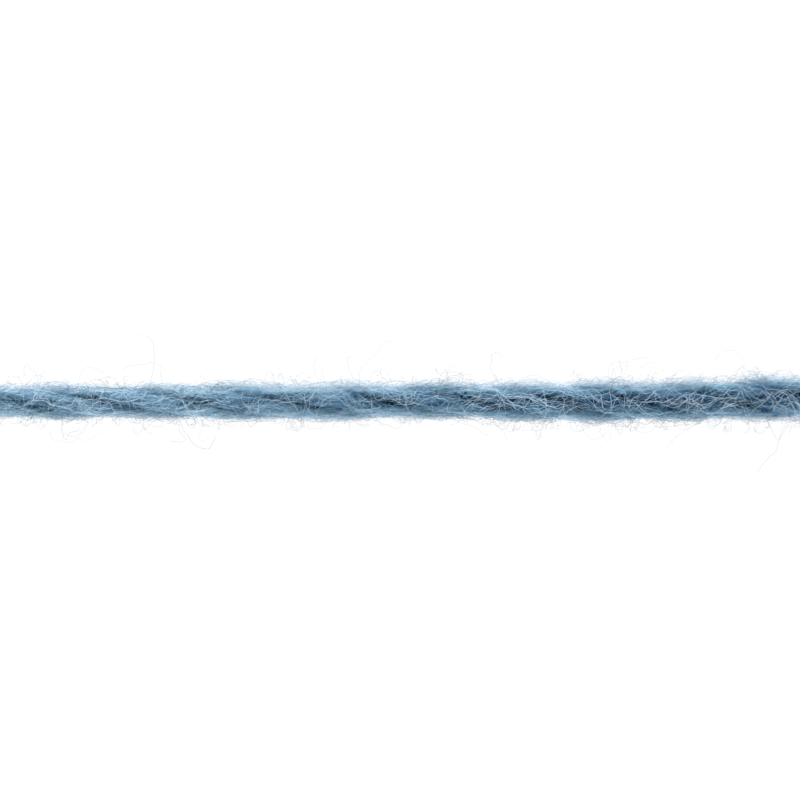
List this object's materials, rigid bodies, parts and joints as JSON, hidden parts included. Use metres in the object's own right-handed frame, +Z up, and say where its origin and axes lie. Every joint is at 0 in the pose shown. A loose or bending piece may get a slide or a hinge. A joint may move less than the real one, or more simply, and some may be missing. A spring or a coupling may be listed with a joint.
{
  "type": "knitting yarn strand",
  "caption": "Cut length of soft, slackly plied wool knitting yarn lying straight, thick and thin along its length, with a flattened underside.",
  "frame": {"origin": "on the surface the strand lies on, under the middle of its box", "axes": "+X along the strand towards its thicker end, +Z up, +Y to the strand's left seen from above looking along +X"},
  "size_m": [0.09, 0.0036, 0.0032],
  "materials": {
    "wool_fibre": "matt heathered steel-blue wool with pale stray fibres and dark grooves between the plies"
  },
  "bodies": {
    "root": {"yarn_strand": "wool_fibre"}
  },
  "joints": []
}
